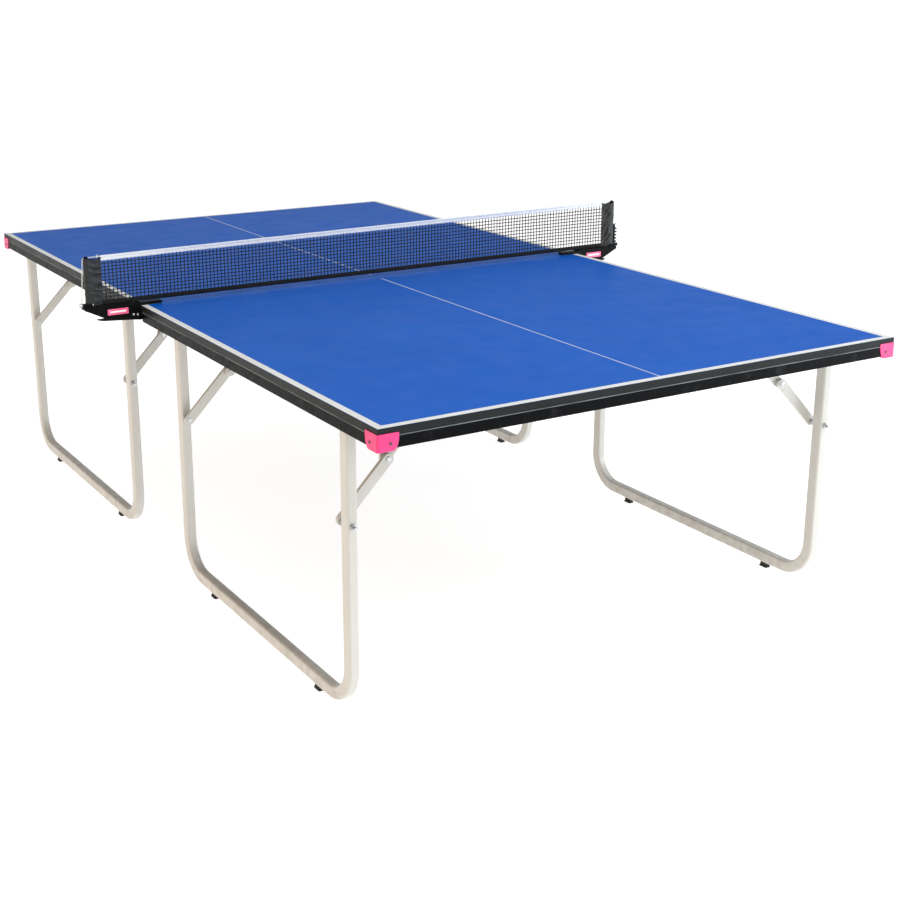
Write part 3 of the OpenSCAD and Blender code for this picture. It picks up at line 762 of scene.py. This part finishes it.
def make_cord(finish):
    """Braided cord through the tape and over both posts, from the left screw to the right rack."""
    r, loop_cord_r = 1.3 * MM, 1.15 * MM
    drop_y, loop_y, bow_y = 918 * MM, 927.6 * MM, -878 * MM
    screw_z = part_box("left_height_screw")[0].z + 5.5 * MM
    rack_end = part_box("tension_rack")[1]
    hook_y, hook_z = rack_end.y - 4 * MM, rack_end.z + r + 0.2 * MM
    loop_r = 4.1 * MM

    def below_top(y, drop):
        return (0, y, net_top(y) - drop)

    start = (0, -loop_y, screw_z + loop_r)
    on_post, in_tape = 3.4 * MM, 2.3 * MM
    path = round_path([start, below_top(-drop_y, on_post), below_top(-NET_END, in_tape),
                       below_top(NET_END, in_tape), below_top(drop_y, on_post),
                       (0, drop_y, hook_z), (0, hook_y, hook_z)], 7 * MM)
    b = Builder()
    b.tube(path, r, 10)
    cord = add_piece("net_tension_cord", b.mesh("net_tension_cord"), "front_half",
                     [finish["cord"]], ["net_cord"])
    b = Builder()
    spots = [Vector((loop_r * math.sin(a), -loop_y, screw_z + loop_r * math.cos(a)))
             for a in (2 * math.pi * k / 32 for k in range(33))]
    b.tube(spots, loop_cord_r, 10)
    loop = add_piece("net_cord_loop", b.mesh("net_cord_loop"), "front_half",
                     [finish["cord"]])
    bow = make_knot("net_cord_bow", Vector(below_top(bow_y, 3 * MM)), 4.6 * MM, finish)
    stop = make_knot("net_cord_stop", Vector((0, hook_y + 1 * MM, hook_z)), 3.4 * MM, finish, 0)


# ---------- labels and edges ----------

def label_outline(width, height, corner):
    """Points (y, z) round a rectangle with round corners, in millimetres."""
    outline = []
    for k, (cy, cz) in enumerate(((1, 1), (-1, 1), (-1, -1), (1, -1))):
        centre = (cy * (width / 2 - corner), cz * (height / 2 - corner))
        outline += arc_points(centre, corner, 5, math.pi / 2 * k, math.pi / 2 * (k + 1.25))
    return outline


def make_labels(finish):
    """Plain pink labels with a white stripe, one on each cheek of both net clamps."""
    cheek_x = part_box("left_net_clamp")[1].x
    label_y, label_z = 830, 750.5
    layers = [(label_outline(60, 17, 1.6), 0.02, 0.35), (label_outline(46, 5, 0.8), 0.3, 0.45)]
    for side, way in SIDES.items():
        for face, out in (("front", 1), ("back", -1)):
            name = f"{side}_{face}_label"
            b = Builder()
            for kind, (outline, low, high) in enumerate(layers):
                b.loft([[(out * (cheek_x + x * MM), (way * label_y + y) * MM, (label_z + z) * MM)
                         for y, z in outline] for x in (low, high)], kind)
            mesh = b.mesh(name)
            tidy_normals(mesh)
            add_piece(name, mesh, "front_half", [finish["label"], finish["label_line"]],
                      smooth=False)


# Width in millimetres of the rounding on CAD nodes, by the ending of their names.
SOFT_EDGES = {"_net_clamp": 0.5, "_clamp_lever": 0.8, "tension_rack": 0.6, "_leg_brackets": 0.4,
              "_stay_brackets": 0.4, "clamp_pads": 0.5}


def dress_cad(finish):
    """Gives every CAD node its material, and rounds the edges of the ones seen from close."""
    slots = {part["node"]: part["material_slot"] for part in frame["record"]["subparts"]}
    for name, obj in nodes.items():
        # Corner screws wear the darkened zinc: painted shade of their recesses.
        kind = "painted_shade_bolt" if name.endswith("corner_screws") else slots[name]
        if kind in finish:
            obj.data.materials.clear()
            obj.data.materials.append(finish[kind])
        for ending, width in SOFT_EDGES.items():
            if name.endswith(ending):
                obj.modifiers.new("Weld", "WELD").merge_threshold = 1e-5
                add_edges(obj, width * MM)


def main():
    make_camera()
    make_world()
    make_lights()
    make_floor()
    finish = make_finishes()
    dress_cad(finish)
    for half in HALVES:
        make_board(half, finish)
        for side in SIDES:
            make_guard(half, side, finish)
    make_net(finish)
    make_tape(finish)
    make_band(finish)
    for side in SIDES:
        make_sleeve(side, finish)
    make_cord(finish)
    make_labels(finish)


main()
